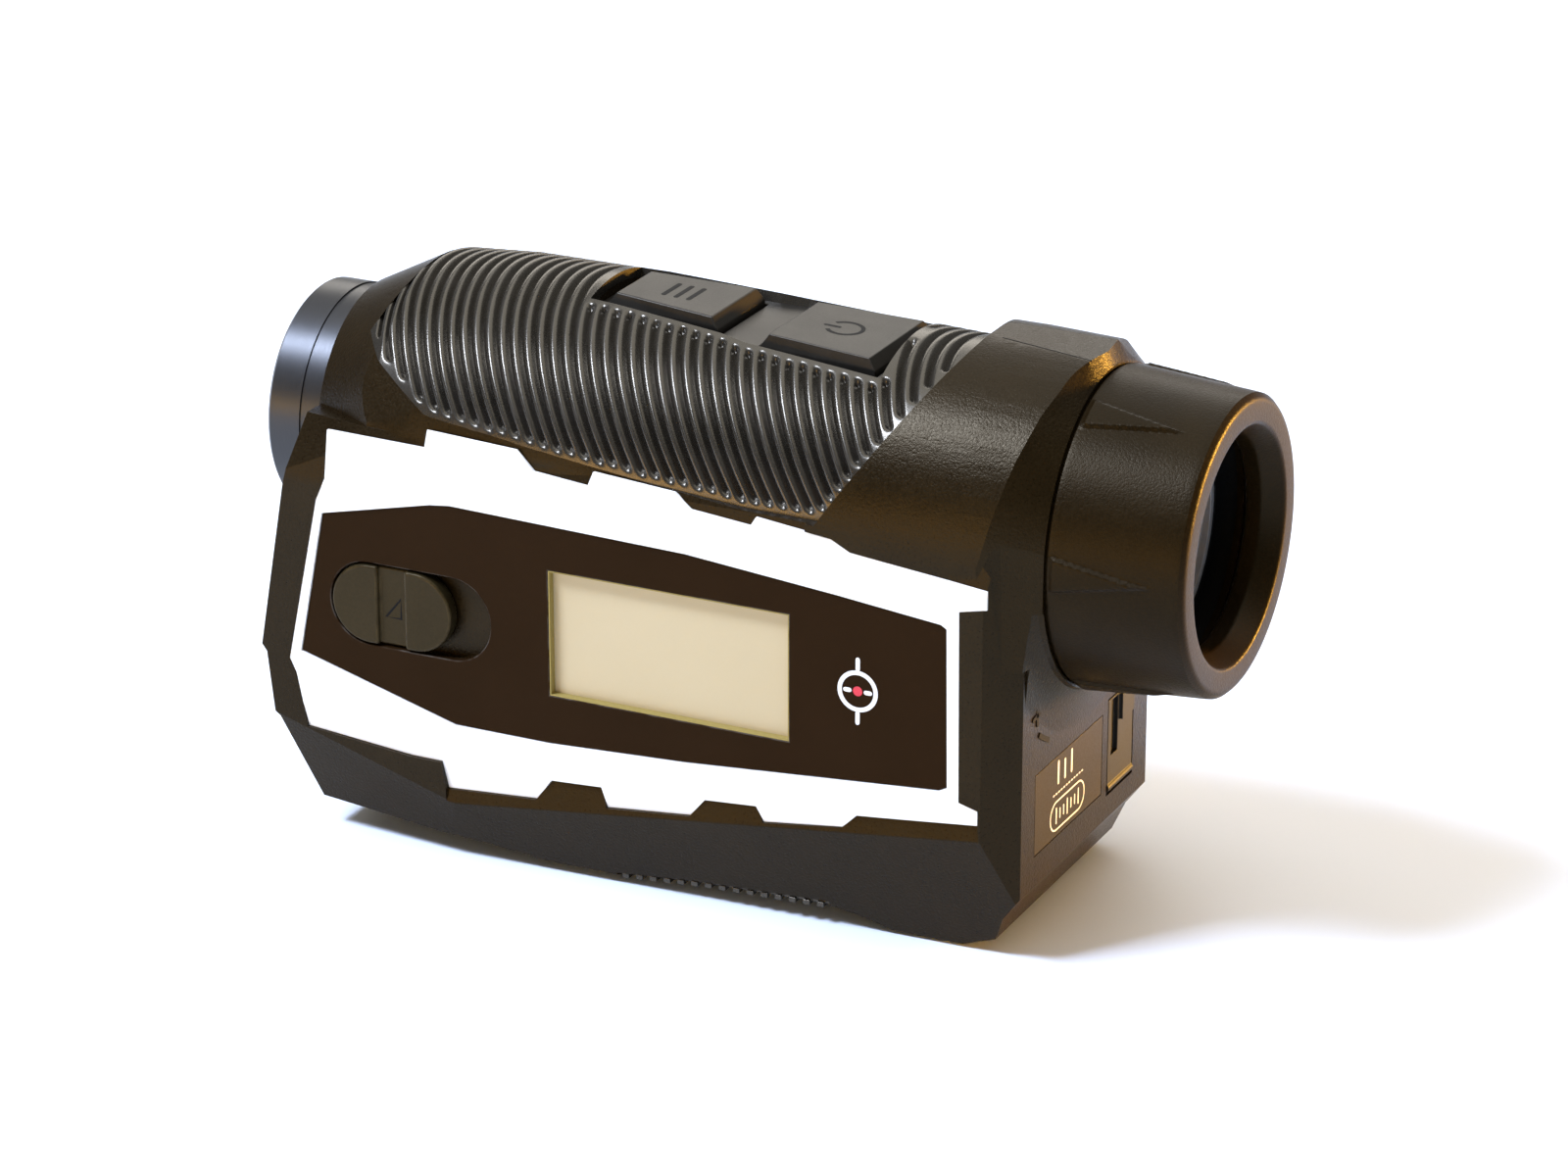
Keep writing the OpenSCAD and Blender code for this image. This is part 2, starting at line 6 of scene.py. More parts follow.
import bmesh
import bpy
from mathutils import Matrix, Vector


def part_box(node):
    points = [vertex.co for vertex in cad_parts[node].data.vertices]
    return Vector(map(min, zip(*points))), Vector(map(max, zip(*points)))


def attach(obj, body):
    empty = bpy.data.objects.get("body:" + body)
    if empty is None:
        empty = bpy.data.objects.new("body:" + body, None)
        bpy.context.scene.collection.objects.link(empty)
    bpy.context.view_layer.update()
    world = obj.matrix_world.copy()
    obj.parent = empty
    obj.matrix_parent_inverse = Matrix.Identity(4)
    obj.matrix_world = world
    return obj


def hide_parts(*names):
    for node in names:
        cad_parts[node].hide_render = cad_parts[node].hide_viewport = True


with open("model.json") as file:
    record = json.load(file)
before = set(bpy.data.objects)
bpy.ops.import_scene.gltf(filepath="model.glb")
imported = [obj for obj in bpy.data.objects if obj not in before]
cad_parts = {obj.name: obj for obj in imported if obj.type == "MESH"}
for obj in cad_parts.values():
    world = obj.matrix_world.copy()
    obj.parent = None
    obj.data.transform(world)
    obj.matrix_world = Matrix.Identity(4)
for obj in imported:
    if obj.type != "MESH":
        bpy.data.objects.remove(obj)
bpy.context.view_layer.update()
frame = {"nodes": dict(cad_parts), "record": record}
NODES = frame["nodes"]
BODY_OF = {
    node: body
    for body, members in frame["record"]["behaviour"]["bodies"].items()
    for node in members
}
SLOT_OF = {row["node"]: row["material_slot"] for row in frame["record"]["subparts"]}

MM = 0.001
objective_low, objective_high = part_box("objective_ring")
AXIS_Z = (objective_low.z + objective_high.z) / 2
WHITE = (1, 1, 1)
GOLD = (1, 0.8, 0.5)
WARM = (1, 0.88, 0.68)


# ---------------------------------------------------------------- camera

def set_camera(spot, turn, dip, lens):
    """A camera at spot that looks back along azimuth turn and elevation dip, in degrees."""
    data = bpy.data.cameras.new("camera")
    data.lens = lens
    data.sensor_width = 36
    data.clip_start = 0.01
    data.clip_end = 50
    camera = bpy.data.objects.new("camera", data)
    bpy.context.scene.collection.objects.link(camera)
    camera.location = spot
    camera.rotation_euler = (math.radians(90 - dip), 0, math.radians(turn))
    bpy.context.scene.camera = camera


set_camera((0.2332, -0.4724, 0.2389), 26.06, 21.61, 118.07)


# ---------------------------------------------------------------- shader maths

class Tone:
    """A shader value. Arithmetic on it adds Math nodes."""

    def __init__(self, paint, socket):
        self.paint = paint
        self.socket = socket

    def math(self, operation, first, second):
        return self.paint.node("ShaderNodeMath", {"operation": operation}, [first, second])

    def __add__(self, other):
        return self.math("ADD", self, other)

    def __radd__(self, other):
        return self.math("ADD", other, self)

    def __sub__(self, other):
        return self.math("SUBTRACT", self, other)

    def __rsub__(self, other):
        return self.math("SUBTRACT", other, self)

    def __mul__(self, other):
        return self.math("MULTIPLY", self, other)

    def __rmul__(self, other):
        return self.math("MULTIPLY", other, self)

    def between(self, low, high):
        """0 below low, 1 above high, and smooth in between."""
        settings = {"interpolation_type": "SMOOTHSTEP"}
        sockets = {"Value": self, "From Min": low, "From Max": high, "To Min": 0.0, "To Max": 1.0}
        return self.paint.node("ShaderNodeMapRange", settings, sockets)


class Paint:
    """A material under construction, with one Principled shader."""

    def __init__(self, name):
        self.material = bpy.data.materials.new(name)
        self.material.use_nodes = True
        self.tree = self.material.node_tree
        self.tree.nodes.clear()
        self.shader = self.tree.nodes.new("ShaderNodeBsdfPrincipled")
        output = self.tree.nodes.new("ShaderNodeOutputMaterial")
        self.tree.links.new(self.shader.outputs[0], output.inputs[0])

    def feed(self, socket, value):
        if isinstance(value, Tone):
            self.tree.links.new(value.socket, socket)
        elif isinstance(value, tuple) and len(value) == 3 and socket.type == "RGBA":
            socket.default_value = (*value, 1)
        else:
            socket.default_value = value

    def node(self, kind, settings=None, sockets=(), out=0):
        """Any node: its type, its settings, then the values or links of its sockets."""
        made = self.tree.nodes.new(kind)
        for name, value in (settings or {}).items():
            setattr(made, name, value)
        pairs = sockets.items() if isinstance(sockets, dict) else enumerate(sockets)
        for name, value in pairs:
            self.feed(made.inputs[name], value)
        return Tone(self, made.outputs[out])

    def blend(self, first, second, share):
        """A colour between two colours."""
        mixed = self.node("ShaderNodeMix", {"data_type": "RGBA"})
        inputs = mixed.socket.node.inputs
        self.feed(inputs[0], share)
        self.feed(inputs[6], first)
        self.feed(inputs[7], second)
        return Tone(self, mixed.socket.node.outputs[2])

    def place(self):
        return self.node("ShaderNodeTexCoord", out="Object")

    def noise(self, size_mm, detail=3.0, rough=0.55, stretch=None):
        spot = self.place()
        if stretch:
            spot = self.node("ShaderNodeMapping", None, {"Vector": spot, "Scale": stretch})
        sockets = {"Vector": spot, "Scale": 1 / (size_mm * MM), "Detail": detail, "Roughness": rough}
        return self.node("ShaderNodeTexNoise", None, sockets)

    def cells(self, size_mm, feature="F1"):
        sockets = {"Vector": self.place(), "Scale": 1 / (size_mm * MM)}
        return self.node("ShaderNodeTexVoronoi", {"feature": feature}, sockets)

    def edge_wear_and_highlight(self):
        """Wear patches along the rounded edges, which the finishes also use to paint a light edge highlight;
        0 elsewhere.
        """
        rim = self.node("ShaderNodeAttribute", {"attribute_name": "rim"}, out="Fac")
        return rim * self.noise(2.5, detail=3.0).between(0.35, 0.65)

    def relief(self, height, depth_mm, strength=1.0):
        """A bumped normal from a height of 0 to 1 that stands depth_mm tall."""
        sockets = {"Height": height, "Distance": depth_mm * MM, "Strength": strength}
        return self.node("ShaderNodeBump", None, sockets)

    def finish(self, **sockets):
        """Sets the shader's sockets by name, with underscores for spaces."""
        for name, value in sockets.items():
            self.feed(self.shader.inputs[name.replace("_", " ")], value)
        return self.material


# ---------------------------------------------------------------- finishes

def eroded_plastic(name, deep, pale, rough, grain_mm=0.24, depth_mm=0.02, specular=0.2, tint=WHITE):
    """Moulded plastic with a spark-eroded grain, and rounded edges that are polished and painted lighter as
    an edge highlight.
    """
    paint = Paint(name)
    grain = paint.noise(grain_mm, detail=2.0, rough=0.7)
    patch = paint.noise(9, detail=2.0)
    edge = paint.edge_wear_and_highlight()
    colour = paint.blend(deep, pale, (grain * 0.5 + patch * 0.5).between(0.3, 0.75))
    # Worn edge patches are painted up to twice the pale shade: edge wear with a painted highlight.
    colour = paint.blend(colour, tuple(2.0 * c for c in pale), edge * 0.5)
    return paint.finish(
        Base_Color=colour,
        Roughness=rough + (grain - 0.5) * 0.3 + (patch - 0.5) * 0.08 - edge * 0.1,
        Specular_IOR_Level=specular,
        Specular_Tint=tint,
        Normal=paint.relief(grain, depth_mm),
    )


def moulded_rubber(name, deep, pale, rough, depth_mm=0.008, specular=0.25, tint=WHITE):
    """Soft rubber with a fine dull skin, a dusty bloom, and worn edge patches painted paler as an edge
    highlight.
    """
    paint = Paint(name)
    skin = paint.noise(0.16, detail=2.0)
    bloom = paint.noise(5, detail=4.0, rough=0.65)
    edge = paint.edge_wear_and_highlight()
    # Worn edge patches add to the pale shade: edge wear with a painted highlight.
    colour = paint.blend(deep, pale, bloom.between(0.35, 0.7) * 0.7 + edge * 0.3)
    return paint.finish(
        Base_Color=colour,
        Roughness=rough + (bloom - 0.5) * 0.14 + (skin - 0.5) * 0.12,
        Specular_IOR_Level=specular,
        Specular_Tint=tint,
        Normal=paint.relief(skin, depth_mm),
    )


def bright_trim():
    """Pale glossy plastic that lets a little light in."""
    paint = Paint("trim_plastic")
    grain = paint.noise(0.3, detail=2.0)
    patch = paint.noise(14, detail=1.0)
    colour = paint.blend((0.86, 0.845, 0.8), (0.92, 0.91, 0.87), patch)
    return paint.finish(
        Base_Color=colour,
        Roughness=0.38 + (grain - 0.5) * 0.12,
        Specular_IOR_Level=0.5,
        Subsurface_Weight=0.08,
        Subsurface_Radius=(0.0012, 0.001, 0.0008),
        Normal=paint.relief(grain, 0.006),
    )


def panel_film():
    """Dark brown film with a fine matt texture, painted pale grey along worn edge patches as an edge
    highlight.
    """
    paint = Paint("panel_film")
    grain = paint.cells(0.12)
    patch = paint.noise(11, detail=2.0)
    edge = paint.edge_wear_and_highlight()
    colour = paint.blend((0.0145, 0.0066, 0.002), (0.019, 0.0088, 0.003), patch)
    # Worn edge patches are painted pale grey: edge wear with a painted highlight.
    colour = paint.blend(colour, (0.06, 0.05, 0.04), edge)
    return paint.finish(
        Base_Color=colour,
        Roughness=0.46 + (grain - 0.5) * 0.2 - edge * 0.2,
        Specular_IOR_Level=0.045,
        Specular_Tint=GOLD,
        Normal=paint.relief(grain, 0.004),
    )


def display_cell():
    """The resting liquid-crystal cell: pale khaki with a faint cloudiness."""
    paint = Paint("lcd_glass")
    cloud = paint.noise(16, detail=1.0)
    speck = paint.noise(0.15, detail=1.0)
    colour = paint.blend((0.46, 0.375, 0.215), (0.51, 0.42, 0.25), cloud * 0.7 + speck * 0.3)
    return paint.finish(
        Base_Color=colour,
        Roughness=0.42 + (speck - 0.5) * 0.1,
        Specular_IOR_Level=0.3,
    )


def display_reveal_shade():
    """Olive for the walls round the display, painted darker than the cell as the shade inside the recess."""
    paint = Paint("display_reveal_shade")
    speck = paint.noise(0.4)
    colour = paint.blend((0.26, 0.195, 0.05), (0.34, 0.26, 0.08), speck)
    return paint.finish(Base_Color=colour, Roughness=0.6, Specular_IOR_Level=0.2)


def printed_ink(name, colour):
    """Printed ink, a little thin in places."""
    paint = Paint(name)
    speck = paint.noise(0.2)
    thin = tuple(0.82 * c for c in colour)
    return paint.finish(
        Base_Color=paint.blend(colour, thin, speck.between(0.4, 0.8)),
        Roughness=0.45 + (speck - 0.5) * 0.2,
        Specular_IOR_Level=0.3,
    )


def flat_black(name="inner_black", pale=0.012):
    """Dull black, for the inside of the casing, for the collar's moulding line, and for engraved marks,
    where it paints the shade inside the grooves.
    """
    paint = Paint(name)
    speck = paint.noise(0.3)
    colour = paint.blend((0.004, 0.004, 0.004), (pale, pale * 0.97, pale * 0.93), speck)
    return paint.finish(
        Base_Color=colour,
        Roughness=0.55 + (speck - 0.5) * 0.2,
        Specular_IOR_Level=0.1,
        Normal=paint.relief(speck, 0.006),
    )


def anodised(name="anodised_ring", lift=1.0):
    """Satin black anodised aluminium with faint turning marks; a lift above 1 paints a paler copy, as if
    lit.
    """
    paint = Paint(name)
    lines = paint.noise(0.5, detail=2.0, stretch=(6, 0.4, 0.4))
    deep = (0.012 * lift, 0.0115 * lift, 0.011 * lift)
    pale = (0.02 * lift, 0.0195 * lift, 0.019 * lift)
    colour = paint.blend(deep, pale, lines)
    return paint.finish(
        Base_Color=colour,
        Metallic=0.1,
        Roughness=0.33 + (lines - 0.5) * 0.16,
        Specular_IOR_Level=0.5,
        Normal=paint.relief(lines, 0.002),
    )


def coated_glass(name, tint, film, cover=0.55):
    """Lens glass: mostly dark and clear, with the coloured bloom of its coating."""
    paint = Paint(name)
    bloom = paint.noise(14, detail=1.0)
    dust = paint.noise(1.2, detail=4.0)
    return paint.finish(
        Base_Color=paint.blend(tint, film, bloom.between(0.3, 0.7)),
        Roughness=0.03 + dust.between(0.6, 0.8) * 0.05,
        Alpha=cover,
        Coat_Weight=1.0,
        Coat_Roughness=0.02,
        Coat_Tint=film,
        Specular_IOR_Level=0.6,
    )


def bare_metal(name, tint, rough):
    """Metal with fine drawn lines."""
    paint = Paint(name)
    lines = paint.noise(0.4, detail=3.0, stretch=(1, 1, 5))
    return paint.finish(
        Base_Color=paint.blend(tint, tuple(0.75 * c for c in tint), lines),
        Metallic=1.0,
        Roughness=rough + (lines - 0.5) * 0.15,
    )


def solder_mask():
    """The green lacquer of a circuit board."""
    paint = Paint("board_laminate")
    weave = paint.cells(1.4)
    colour = paint.blend((0.01, 0.07, 0.03), (0.02, 0.12, 0.05), weave)
    return paint.finish(Base_Color=colour, Roughness=0.35 + weave * 0.1)


def shrink_sleeve():
    """The blue sleeve of the battery cell."""
    paint = Paint("cell_sleeve")
    cloud = paint.noise(6)
    colour = paint.blend((0.03, 0.07, 0.2), (0.05, 0.1, 0.28), cloud)
    return paint.finish(Base_Color=colour, Roughness=0.3 + cloud * 0.1)


# The deep and the pale shade of the two main materials
HOUSING = ((0.0068, 0.0037, 0.0009), (0.013, 0.0074, 0.002))
RUBBER = ((0.008, 0.007, 0.0055), (0.0145, 0.013, 0.011))

FINISH = {
    "housing_plastic": eroded_plastic(
        "housing_plastic", *HOUSING, 0.32, grain_mm=0.3, depth_mm=0.045, specular=0.17, tint=GOLD
    ),
    "grip_rubber": moulded_rubber("grip_rubber", *RUBBER, 0.28, specular=0.8, tint=WARM),
    "trim_plastic": bright_trim(),
    "panel_film": panel_film(),
    "lcd_glass": display_cell(),
    "knob_plastic": eroded_plastic(
        "knob_plastic", (0.018, 0.0125, 0.0045), (0.026, 0.0185, 0.0075), 0.4,
        grain_mm=0.3, depth_mm=0.006, specular=0.16, tint=GOLD,
    ),
    "key_rubber": moulded_rubber("key_rubber", *RUBBER, 0.4, depth_mm=0.006, specular=0.3, tint=WARM),
    "eyecup_rubber": eroded_plastic(
        "eyecup_rubber", *HOUSING, 0.36, grain_mm=0.28, depth_mm=0.035, specular=0.115, tint=GOLD
    ),
    "inner_black": flat_black(),
    "lens_glass": coated_glass("lens_glass", (0.01, 0.012, 0.016), (0.05, 0.12, 0.1)),
    "laser_glass": coated_glass("laser_glass", (0.05, 0.002, 0.003), (0.25, 0.02, 0.03), 0.9),
    "seal_rubber": moulded_rubber("seal_rubber", (0.009, 0.007, 0.004), (0.014, 0.012, 0.008), 0.5),
    "anodised_ring": anodised(),
    "bare_metal": bare_metal("bare_metal", (0.6, 0.6, 0.61), 0.3),
    "screw_steel": bare_metal("screw_steel", (0.5, 0.5, 0.52), 0.25),
    "board_laminate": solder_mask(),
    "cell_sleeve": shrink_sleeve(),
    "label_film": eroded_plastic(
        "label_film", (0.012, 0.009, 0.005), (0.019, 0.014, 0.008), 0.42,
        grain_mm=0.2, depth_mm=0.012, specular=0.2, tint=GOLD,
    ),
}
# The walls of the display's recess get a darker olive that paints the shade inside the recess.
REVEAL_SHADE_OLIVE = display_reveal_shade()
INK_WHITE = printed_ink("ink_white", (0.85, 0.85, 0.83))
INK_RED = printed_ink("ink_red", (0.62, 0.04, 0.06))
# Near-black for the collar's moulding line and for the painted shade of engraved marks.
BLACK_SEAM_AND_ENGRAVING_SHADE = flat_black("black_seam_and_engraving_shade", 0.003)
# A copy of the anodised finish painted sixteen times paler: painted light on the deep retainer.
RING_PAINTED_LIT = anodised("ring_satin_painted_lit", 16.0)


# ---------------------------------------------------------------- mesh helpers

# Edges sharper than this are rounded over, with this many faces across each
CREASE_DEG = 16
EDGE_SEGMENTS = 3


def add_piece(name, mesh, finish, body, replaced=()):
    """Links a mesh as a piece of the object, painted, riding on a body."""
    piece = bpy.data.objects.new(name, mesh)
    bpy.context.scene.collection.objects.link(piece)
    mesh.materials.clear()
    mesh.materials.append(finish)
    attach(piece, body)
    if replaced:
        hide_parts(*replaced)
    return piece


def smooth_all(mesh, sharp_deg):
    """Smooth shading, with edges sharper than an angle kept sharp."""
    mesh.shade_smooth()
    mesh.set_sharp_from_angle(angle=math.radians(sharp_deg))


def cleaned(node):
    """A bmesh of a CAD node with its seams welded and its flat faces whole."""
    bm = bmesh.new()
    bm.from_mesh(NODES[node].data)
    bmesh.ops.remove_doubles(bm, verts=bm.verts, dist=0.002 * MM)
    bmesh.ops.dissolve_limit(
        bm, angle_limit=math.radians(0.6), verts=bm.verts, edges=bm.edges, use_dissolve_boundaries=False
    )
    return bm


def cut_by(bm, faces, point, normal, clear=False):
    """Cuts faces along a plane, and takes away what lies beyond it if clear."""
    geom = faces + list({e for f in faces for e in f.edges}) + list({v for f in faces for v in f.verts})
    return bmesh.ops.bisect_plane(
        bm, geom=geom, dist=0.0005 * MM, plane_co=point, plane_no=normal, clear_outer=clear
    )


def eased(node, width_mm):
    """A CAD node's own shape with its edges rounded over and its flats kept flat."""
    bm = cleaned(node)
    if node == "main_housing":
        true_collar(bm)
    crease = math.radians(CREASE_DEG)
    edges = [e for e in bm.edges if len(e.link_faces) == 2 and e.calc_face_angle(0) > crease]
    made = bmesh.ops.bevel(
        bm, geom=edges, offset=width_mm * MM, offset_type="OFFSET", segments=EDGE_SEGMENTS,
        profile=0.5, affect="EDGES", clamp_overlap=True,
    )
    rounded = set(made["faces"])
    mesh = bpy.data.meshes.new(node + "_eased")
    normals = flat_normals(bm, rounded, math.cos(crease))
    rims = [float(face in rounded) for face in bm.faces]
    bm.to_mesh(mesh)
    bm.free()
    mesh.attributes.new("rim", "FLOAT", "FACE").data.foreach_set("value", rims)
    mesh.shade_smooth()
    mesh.normals_split_custom_set(normals)
    slot = SLOT_OF[node]
    add_piece(node + "_form", mesh, FINISH[slot], BODY_OF[node], (node,))


# The collar behind the grip ends in a chamfer that widens down its sides, in mm
COLLAR_END_X = 40.5
COLLAR_END_R = 17.6
COLLAR_R = 20.0
# How far forward its crease lies at the top, and how much further for each degree down the side
COLLAR_LEAD = 0.3
COLLAR_SWEEP = 0.075
COLLAR_TURN_DEG = 102
COLLAR_STEP_DEG = 3


def true_collar(bm):
    """Turns the collar's chamfer planes into one smooth, widening chamfer."""
    def zone():
        picked = []
        for face in bm.faces:
            c = face.calc_center_median() / MM
            off = math.hypot(c.y, c.z - AXIS_Z / MM)
            if c.x > 30 and COLLAR_END_R - 0.25 < off < COLLAR_R + 0.2 and c.z > AXIS_Z / MM - 4.2:
                picked.append(face)
        return picked
    for turn in range(-COLLAR_TURN_DEG, COLLAR_TURN_DEG + 1, COLLAR_STEP_DEG):
        lean = math.radians(turn)
        cut_by(bm, zone(), Vector((0, 0, AXIS_Z)), Vector((0, math.cos(lean), math.sin(lean))))
    for vert in {v for face in zone() for v in face.verts}:
        y, z = vert.co.y / MM, (vert.co.z - AXIS_Z) / MM
        off = math.hypot(y, z)
        if z > 0.3 and off > COLLAR_END_R - 0.2:
            if vert.co.x > (COLLAR_END_X - 0.05) * MM:
                vert.co.y *= COLLAR_END_R / off
                vert.co.z = AXIS_Z + z * MM * COLLAR_END_R / off
                continue
            turn = abs(math.degrees(math.atan2(y, z)))
            crease_x = COLLAR_END_X - COLLAR_LEAD - COLLAR_SWEEP * turn
            share = (max(off, COLLAR_END_R) - COLLAR_END_R) / (COLLAR_R - COLLAR_END_R)
            vert.co.x = min(vert.co.x, (COLLAR_END_X + share * (crease_x - COLLAR_END_X)) * MM)
    bmesh.ops.remove_doubles(bm, verts=bm.verts, dist=0.01 * MM)


def flat_normals(bm, rounded, likeness):
    """Loop normals that keep flats flat and turn smoothly over the rounded edges."""
    bm.normal_update()
    normals = []
    for face in bm.faces:
        for loop in face.loops:
            around = [f for f in loop.vert.link_faces if f not in rounded] or loop.vert.link_faces
            if face not in rounded:
                around = [f for f in around if f.normal.dot(face.normal) > likeness]
            total = Vector()
            for other in around:
                total += other.normal * other.calc_area()
            normals.append(total.normalized() if total.length > 0 else face.normal.copy())
    return normals


def mesh_from(name, points, faces):
    """A mesh from its points, in metres, and its faces."""
    mesh = bpy.data.meshes.new(name)
    mesh.from_pydata(points, [], faces)
    mesh.update()
    return mesh


def lathe(name, profile, steps=192):
    """A closed [x, radius] profile in mm turned about the optical axis."""
    points = []
    faces = []
    count = len(profile)
    for i in range(steps):
        turn = 2 * math.pi * i / steps
        for x, radius in profile:
            points.append((x * MM, radius * math.sin(turn) * MM, radius * math.cos(turn) * MM + AXIS_Z))
    for i in range(steps):
        a, b = i * count, (i + 1) % steps * count
        for j in range(count):
            k = (j + 1) % count
            faces.append((a + j, a + k, b + k, b + j))
    mesh = mesh_from(name, points, faces)
    tidy_normals(mesh)
    return mesh


def tidy_normals(mesh):
    """Welds a mesh's seams and turns its faces outwards."""
    bm = bmesh.new()
    bm.from_mesh(mesh)
    bmesh.ops.remove_doubles(bm, verts=bm.verts, dist=0.001 * MM)
    bmesh.ops.recalc_face_normals(bm, faces=bm.faces)
    bm.to_mesh(mesh)
    bm.free()


def rounded_profile(corners, steps=5):
    """Rounds each [x, r, radius] corner of a closed profile with a short curve."""
    out = []
    count = len(corners)
    for i, (x, r, ease) in enumerate(corners):
        here = Vector((x, r))
        if not ease:
            out.append(here)
            continue
        before = Vector(corners[i - 1][:2]) - here
        after = Vector(corners[(i + 1) % count][:2]) - here
        a = here + before.normalized() * min(ease, before.length * 0.45)
        b = here + after.normalized() * min(ease, after.length * 0.45)
        for k in range(steps + 1):
            t = k / steps
            out.append(a * (1 - t) ** 2 + here * (2 * t * (1 - t)) + b * t ** 2)
    return [(p.x, p.y) for p in out]


# ---------------------------------------------------------------- casing, from the CAD forms

EDGE_WIDTH = {
    "main_housing": 0.22,
    "front_cap": 0.22,
    "trim_left": 0.3,
    "trim_right": 0.3,
    "panel_left": 0.14,
    "panel_right": 0.14,
    "slope_knob": 0.3,
    "mode_key": 0.35,
    "power_key": 0.35,
    "key_surround": 0.2,
    "port_cover": 0.12,
    "rear_label": 0.05,
    "base_grip_pad": 0.15,
}
for edged_node, edge_width in EDGE_WIDTH.items():
    eased(edged_node, edge_width)


def paint_cad_nodes():
    """The CAD nodes that keep their own meshes get the finish of their slot."""
    for name, node in NODES.items():
        if not node.hide_render:
            node.data.materials.clear()
            node.data.materials.append(FINISH[SLOT_OF[name]])


# ---------------------------------------------------------------- grip saddle

# Side view of the grip saddle about the optical axis, as [x, z] in mm
GRIP_OUTLINE = [
    (-38.9, 21.0), (-42.7, 12.8), (-32.4, 6.7), (-7.0, 3.8), (6.7, 2.6), (15.3, 2.4), (28.0, 21.0)
]
# Plan of the opening round the keys, as [x, half width] in mm
KEY_OPENING = [(-18.2, 6.0), (-1.6, 7.5), (1.4, 8.1), (18.0, 9.2)]
# Radius of the saddle along the axis, as [x, radius] in mm
SADDLE_RADIUS = [(-43.5, 16.81), (-39.6, 18.8), (-31.0, 19.4), (-15.0, 19.4), (26.4, 18.0), (40.0, 18.0)]
# The ribs in mm: their spacing, how far they lean for each mm of height, and where one starts
RIB_PITCH = 1.575
RIB_LEAN = 0.65
RIB_PHASE = 16.19
GROOVE_DEPTH = 0.5
GROOVE_WIDTH = 0.3
RIDGE_CROWN = 0.22
RIB_BORDER = 0.95
SADDLE_SKIN = 1.15
# How finely the skin is divided: columns for each rib, and rows round the saddle
RIB_COLUMNS = 10
SADDLE_ROWS = 230
SADDLE_TURN_DEG = 88
RIBS_AHEAD = 42


def saddle_radius(x):
    """The saddle's radius at a place along the axis."""
    for (x0, r0), (x1, r1) in zip(SADDLE_RADIUS, SADDLE_RADIUS[1:]):
        if x <= x1:
            return r0 + (r1 - r0) * max(x - x0, 0) / (x1 - x0)
    return SADDLE_RADIUS[-1][1]


def saddle_point(s, turn):
    """Where rib line s crosses the saddle at an angle from the top: x, radius."""
    x = s
    for _ in range(4):
        radius = saddle_radius(x)
        x = s - RIB_LEAN * radius * math.cos(turn)
    return x, saddle_radius(x)


def border_distance(x, y, z):
    """Distance in mm to the nearest closed border that the grooves stop short of."""
    best = 99.0
    for (x0, z0), (x1, z1) in zip(GRIP_OUTLINE[1:], GRIP_OUTLINE[2:]):
        side = Vector((x1 - x0, z1 - z0)).normalized()
        best = min(best, side.x * (z - z0) - side.y * (x - x0))
    half = 0.0
    for (x0, w0), (x1, w1) in zip(KEY_OPENING, KEY_OPENING[1:]):
        if x0 <= x <= x1:
            half = w0 + (w1 - w0) * (x - x0) / (x1 - x0)
    ahead = KEY_OPENING[0][0] - x
    behind = x - KEY_OPENING[-1][0]
    if z > 8:
        if ahead > 0:
            gap = math.hypot(ahead, max(abs(y) - KEY_OPENING[0][1], 0))
        elif behind > 0:
            gap = math.hypot(behind, max(abs(y) - KEY_OPENING[-1][1], 0))
        else:
            gap = abs(y) - half
        best = min(best, gap + (0.35 if ahead > 0 or behind > 0 else 0.0))
    return best


def groove_runs(s, turns):
    """Angles between which the groove on rib line s is open."""
    runs = []
    start = None
    last = None
    for turn in turns:
        x, radius = saddle_point(s, turn)
        clear = border_distance(x, -radius * math.sin(turn), radius * math.cos(turn)) > RIB_BORDER
        if clear and start is None:
            start = turn
        if not clear and start is not None:
            runs.append((start, last))
            start = None
        last = turn
    if start is not None:
        runs.append((start, last))
    return [run for run in runs if run[1] - run[0] > 0.04]


